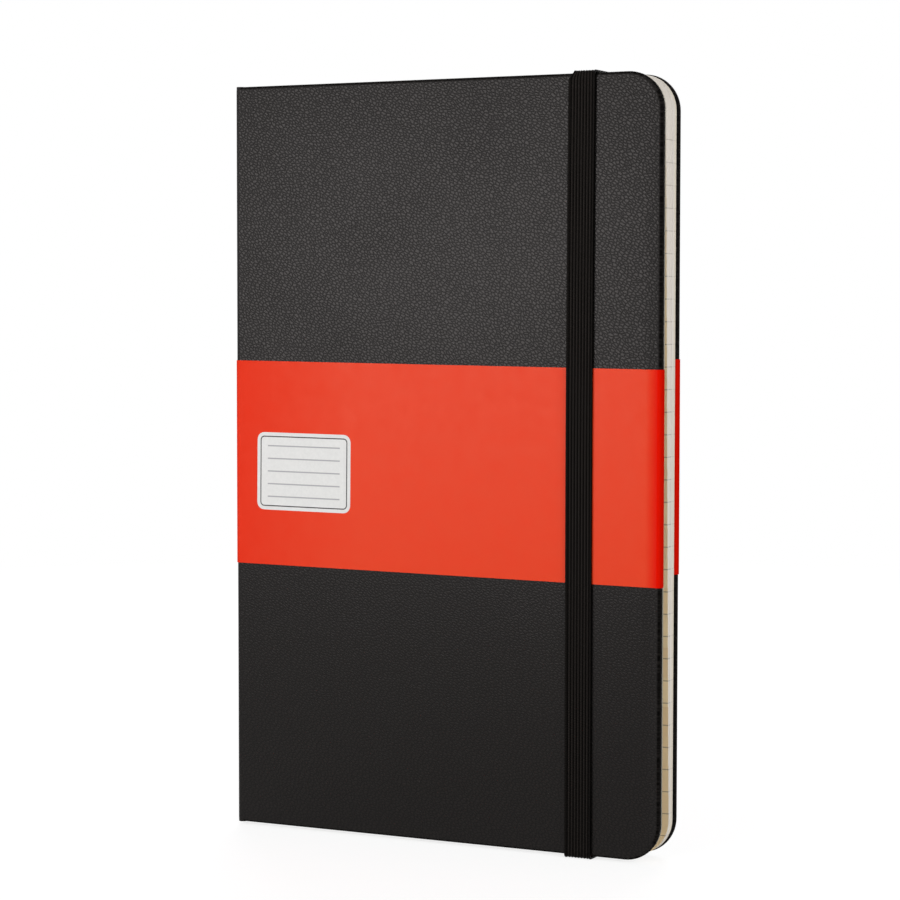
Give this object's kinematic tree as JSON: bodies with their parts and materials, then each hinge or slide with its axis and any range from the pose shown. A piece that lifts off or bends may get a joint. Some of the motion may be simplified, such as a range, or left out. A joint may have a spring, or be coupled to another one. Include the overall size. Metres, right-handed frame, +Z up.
{
  "type": "address book",
  "caption": "Hardcover address book with a step-cut index, a paper band, an elastic closure strap and an inner pocket; its covers and leaves open flat.",
  "frame": {"origin": "under the middle of the closed book, on the surface that it stands on", "axes": "+X from the spine to the fore-edge, +Y from the front cover to the back cover, +Z up from tail to head"},
  "size_m": [0.1304, 0.0158, 0.2116],
  "materials": {
    "leatherette": "fine pebble grain, matt black",
    "board": "grey bookbinding board",
    "endpaper": "plain cream endpaper",
    "page_paper": "cream ruled paper",
    "band_paper": "smooth orange-red printed paper with a plain ruled label",
    "elastic": "black ribbed woven elastic",
    "gusset_cloth": "black cotton cloth",
    "ribbon_satin": "black satin ribbon",
    "thread_linen": "natural linen thread",
    "lining_mull": "open-weave cotton lining",
    "pocket_card": "cream card"
  },
  "bodies": {
    "back_cover": {"back_wrap": "leatherette", "back_board": "board", "back_pastedown": "endpaper", "band_back": "band_paper", "strap_end_head": "elastic", "strap_end_tail": "elastic", "pocket_gusset_head": "gusset_cloth", "pocket_gusset_tail": "gusset_cloth", "pocket_edge_strip": "endpaper"},
    "spine": {"spine_wrap": "leatherette", "spine_board": "board", "band_spine": "band_paper", "spine_lining": "lining_mull", "sewn_back": "page_paper", "binding_thread": "thread_linen"},
    "front_cover": {"front_wrap": "leatherette", "front_board": "board", "front_pastedown": "endpaper", "band_front": "band_paper"},
    "pocket": {"pocket_panel": "pocket_card"},
    "strap": {"elastic_strap": "elastic"},
    "front_flyleaf": {"front_flyleaf": "endpaper"},
    "section_a": {"section_a": "page_paper"},
    "section_b": {"section_b": "page_paper"},
    "section_c": {"section_c": "page_paper"},
    "section_d": {"section_d": "page_paper"},
    "section_e": {"section_e": "page_paper"},
    "section_f": {"section_f": "page_paper"},
    "section_g": {"section_g": "page_paper"},
    "section_h": {"section_h": "page_paper"},
    "section_i": {"section_i": "page_paper"},
    "section_j": {"section_j": "page_paper"},
    "section_k": {"section_k": "page_paper"},
    "section_l": {"section_l": "page_paper"},
    "section_m": {"section_m": "page_paper"},
    "section_n": {"section_n": "page_paper"},
    "section_o": {"section_o": "page_paper"},
    "section_p": {"section_p": "page_paper"},
    "section_q": {"section_q": "page_paper"},
    "section_r": {"section_r": "page_paper"},
    "section_s": {"section_s": "page_paper"},
    "section_t": {"section_t": "page_paper"},
    "section_u": {"section_u": "page_paper"},
    "section_v": {"section_v": "page_paper"},
    "section_w": {"section_w": "page_paper"},
    "section_xyz": {"section_xyz": "page_paper"},
    "notes_1": {"notes_1": "page_paper", "ribbon_marker": "ribbon_satin"},
    "notes_2": {"notes_2": "page_paper"},
    "notes_3": {"notes_3": "page_paper"},
    "notes_4": {"notes_4": "page_paper"},
    "notes_5": {"notes_5": "page_paper"},
    "notes_6": {"notes_6": "page_paper"},
    "back_flyleaf": {"back_flyleaf": "endpaper"}
  },
  "joints": [
    {"name": "book_opening", "type": "hinge", "parent": "back_cover", "child": "spine", "pos_m": [-0.0637, 0.0058, 0.1058], "axis": [0, 0, -1], "range_deg": [0, 90]},
    {"name": "front_cover_hinge", "type": "hinge", "parent": "spine", "child": "front_cover", "pos_m": [-0.0637, -0.0056, 0.1058], "axis": [0, 0, -1], "range_deg": [0, 90]},
    {"name": "pocket_mouth", "type": "hinge", "parent": "back_cover", "child": "pocket", "pos_m": [0.047, 0.004, 0.1058], "axis": [0, 0, 1], "range_deg": [0, 2.5]},
    {"name": "strap_release", "type": "slide", "parent": "back_cover", "child": "strap", "axis": [0, 1, 0], "range_m": [0, 0.0158], "deforming": ["elastic_strap"]},
    {"name": "front_flyleaf_fold", "type": "hinge", "parent": "spine", "child": "front_flyleaf", "pos_m": [-0.06189, -0.00384, 0.1058], "axis": [0, 0, -1], "range_deg": [0, 86.01]},
    {"name": "section_a_fold", "type": "hinge", "parent": "spine", "child": "section_a", "pos_m": [-0.06175, -0.00367, 0.1058], "axis": [0, 0, -1], "range_deg": [0, 81.36]},
    {"name": "section_b_fold", "type": "hinge", "parent": "spine", "child": "section_b", "pos_m": [-0.06158, -0.00347, 0.1058], "axis": [0, 0, -1], "range_deg": [0, 76.72]},
    {"name": "section_c_fold", "type": "hinge", "parent": "spine", "child": "section_c", "pos_m": [-0.06143, -0.00328, 0.1058], "axis": [0, 0, -1], "range_deg": [0, 72.08]},
    {"name": "section_d_fold", "type": "hinge", "parent": "spine", "child": "section_d", "pos_m": [-0.06129, -0.00308, 0.1058], "axis": [0, 0, -1], "range_deg": [0, 67.43]},
    {"name": "section_e_fold", "type": "hinge", "parent": "spine", "child": "section_e", "pos_m": [-0.06117, -0.00287, 0.1058], "axis": [0, 0, -1], "range_deg": [0, 62.78]},
    {"name": "section_f_fold", "type": "hinge", "parent": "spine", "child": "section_f", "pos_m": [-0.06105, -0.00267, 0.1058], "axis": [0, 0, -1], "range_deg": [0, 58.14]},
    {"name": "section_g_fold", "type": "hinge", "parent": "spine", "child": "section_g", "pos_m": [-0.06095, -0.00248, 0.1058], "axis": [0, 0, -1], "range_deg": [0, 53.49]},
    {"name": "section_h_fold", "type": "hinge", "parent": "spine", "child": "section_h", "pos_m": [-0.06085, -0.00228, 0.1058], "axis": [0, 0, -1], "range_deg": [0, 48.85]},
    {"name": "section_i_fold", "type": "hinge", "parent": "spine", "child": "section_i", "pos_m": [-0.06076, -0.00208, 0.1058], "axis": [0, 0, -1], "range_deg": [0, 44.2]},
    {"name": "section_j_fold", "type": "hinge", "parent": "spine", "child": "section_j", "pos_m": [-0.06069, -0.00187, 0.1058], "axis": [0, 0, -1], "range_deg": [0, 39.56]},
    {"name": "section_k_fold", "type": "hinge", "parent": "spine", "child": "section_k", "pos_m": [-0.06062, -0.00168, 0.1058], "axis": [0, 0, -1], "range_deg": [0, 34.91]},
    {"name": "section_l_fold", "type": "hinge", "parent": "spine", "child": "section_l", "pos_m": [-0.06056, -0.00147, 0.1058], "axis": [0, 0, -1], "range_deg": [0, 30.27]},
    {"name": "section_m_fold", "type": "hinge", "parent": "spine", "child": "section_m", "pos_m": [-0.06051, -0.00128, 0.1058], "axis": [0, 0, -1], "range_deg": [0, 25.62]},
    {"name": "section_n_fold", "type": "hinge", "parent": "spine", "child": "section_n", "pos_m": [-0.06046, -0.00108, 0.1058], "axis": [0, 0, -1], "range_deg": [0, 20.98]},
    {"name": "section_o_fold", "type": "hinge", "parent": "spine", "child": "section_o", "pos_m": [-0.06043, -0.00088, 0.1058], "axis": [0, 0, -1], "range_deg": [0, 16.33]},
    {"name": "section_p_fold", "type": "hinge", "parent": "spine", "child": "section_p", "pos_m": [-0.0604, -0.00068, 0.1058], "axis": [0, 0, -1], "range_deg": [0, 11.69]},
    {"name": "section_q_fold", "type": "hinge", "parent": "spine", "child": "section_q", "pos_m": [-0.06038, -0.00047, 0.1058], "axis": [0, 0, -1], "range_deg": [0, 7.04]},
    {"name": "section_r_fold", "type": "hinge", "parent": "spine", "child": "section_r", "pos_m": [-0.06037, -0.00028, 0.1058], "axis": [0, 0, -1], "range_deg": [0, 2.4]},
    {"name": "section_s_fold", "type": "hinge", "parent": "spine", "child": "section_s", "pos_m": [-0.06037, -0.00007, 0.1058], "axis": [0, 0, -1], "range_deg": [-2.27, 0]},
    {"name": "section_t_fold", "type": "hinge", "parent": "spine", "child": "section_t", "pos_m": [-0.06038, 0.00013, 0.1058], "axis": [0, 0, -1], "range_deg": [-6.91, 0]},
    {"name": "section_u_fold", "type": "hinge", "parent": "spine", "child": "section_u", "pos_m": [-0.0604, 0.00032, 0.1058], "axis": [0, 0, -1], "range_deg": [-11.56, 0]},
    {"name": "section_v_fold", "type": "hinge", "parent": "spine", "child": "section_v", "pos_m": [-0.06042, 0.00052, 0.1058], "axis": [0, 0, -1], "range_deg": [-16.2, 0]},
    {"name": "section_w_fold", "type": "hinge", "parent": "spine", "child": "section_w", "pos_m": [-0.06046, 0.00072, 0.1058], "axis": [0, 0, -1], "range_deg": [-20.85, 0]},
    {"name": "section_xyz_fold", "type": "hinge", "parent": "spine", "child": "section_xyz", "pos_m": [-0.0605, 0.00093, 0.1058], "axis": [0, 0, -1], "range_deg": [-25.49, 0]},
    {"name": "notes_1_fold", "type": "hinge", "parent": "spine", "child": "notes_1", "pos_m": [-0.06058, 0.00139, 0.1058], "axis": [0, 0, -1], "range_deg": [-30.14, 0]},
    {"name": "notes_2_fold", "type": "hinge", "parent": "spine", "child": "notes_2", "pos_m": [-0.06071, 0.00181, 0.1058], "axis": [0, 0, -1], "range_deg": [-34.78, 0]},
    {"name": "notes_3_fold", "type": "hinge", "parent": "spine", "child": "notes_3", "pos_m": [-0.06085, 0.00222, 0.1058], "axis": [0, 0, -1], "range_deg": [-39.43, 0]},
    {"name": "notes_4_fold", "type": "hinge", "parent": "spine", "child": "notes_4", "pos_m": [-0.06102, 0.00264, 0.1058], "axis": [0, 0, -1], "range_deg": [-44.08, 0]},
    {"name": "notes_5_fold", "type": "hinge", "parent": "spine", "child": "notes_5", "pos_m": [-0.0612, 0.00305, 0.1058], "axis": [0, 0, -1], "range_deg": [-48.72, 0]},
    {"name": "notes_6_fold", "type": "hinge", "parent": "spine", "child": "notes_6", "pos_m": [-0.0614, 0.00347, 0.1058], "axis": [0, 0, -1], "range_deg": [-53.37, 0]},
    {"name": "back_flyleaf_fold", "type": "hinge", "parent": "spine", "child": "back_flyleaf", "pos_m": [-0.06155, 0.00374, 0.1058], "axis": [0, 0, -1], "range_deg": [-58.01, 0]}
  ],
  "couplings": [
    {"joint": "front_cover_hinge", "follows": "book_opening", "ratio": 1},
    {"joint": "pocket_mouth", "follows": "book_opening", "ratio": 0.027777},
    {"joint": "strap_release", "follows": "book_opening", "m_per_rad": 0.010058},
    {"joint": "front_flyleaf_fold", "follows": "book_opening", "ratio": 0.95556},
    {"joint": "section_a_fold", "follows": "book_opening", "ratio": 0.90394},
    {"joint": "section_b_fold", "follows": "book_opening", "ratio": 0.85233},
    {"joint": "section_c_fold", "follows": "book_opening", "ratio": 0.80072},
    {"joint": "section_d_fold", "follows": "book_opening", "ratio": 0.7491},
    {"joint": "section_e_fold", "follows": "book_opening", "ratio": 0.69749},
    {"joint": "section_f_fold", "follows": "book_opening", "ratio": 0.64588},
    {"joint": "section_g_fold", "follows": "book_opening", "ratio": 0.59427},
    {"joint": "section_h_fold", "follows": "book_opening", "ratio": 0.54265},
    {"joint": "section_i_fold", "follows": "book_opening", "ratio": 0.49104},
    {"joint": "section_j_fold", "follows": "book_opening", "ratio": 0.43943},
    {"joint": "section_k_fold", "follows": "book_opening", "ratio": 0.38781},
    {"joint": "section_l_fold", "follows": "book_opening", "ratio": 0.3362},
    {"joint": "section_m_fold", "follows": "book_opening", "ratio": 0.28459},
    {"joint": "section_n_fold", "follows": "book_opening", "ratio": 0.23297},
    {"joint": "section_o_fold", "follows": "book_opening", "ratio": 0.18136},
    {"joint": "section_p_fold", "follows": "book_opening", "ratio": 0.12975},
    {"joint": "section_q_fold", "follows": "book_opening", "ratio": 0.078136},
    {"joint": "section_r_fold", "follows": "book_opening", "ratio": 0.026523},
    {"joint": "section_s_fold", "follows": "book_opening", "ratio": -0.02509},
    {"joint": "section_t_fold", "follows": "book_opening", "ratio": -0.076703},
    {"joint": "section_u_fold", "follows": "book_opening", "ratio": -0.12832},
    {"joint": "section_v_fold", "follows": "book_opening", "ratio": -0.17993},
    {"joint": "section_w_fold", "follows": "book_opening", "ratio": -0.23154},
    {"joint": "section_xyz_fold", "follows": "book_opening", "ratio": -0.28315},
    {"joint": "notes_1_fold", "follows": "book_opening", "ratio": -0.33477},
    {"joint": "notes_2_fold", "follows": "book_opening", "ratio": -0.38638},
    {"joint": "notes_3_fold", "follows": "book_opening", "ratio": -0.43799},
    {"joint": "notes_4_fold", "follows": "book_opening", "ratio": -0.48961},
    {"joint": "notes_5_fold", "follows": "book_opening", "ratio": -0.54122},
    {"joint": "notes_6_fold", "follows": "book_opening", "ratio": -0.59283},
    {"joint": "back_flyleaf_fold", "follows": "book_opening", "ratio": -0.64444}
  ]
}
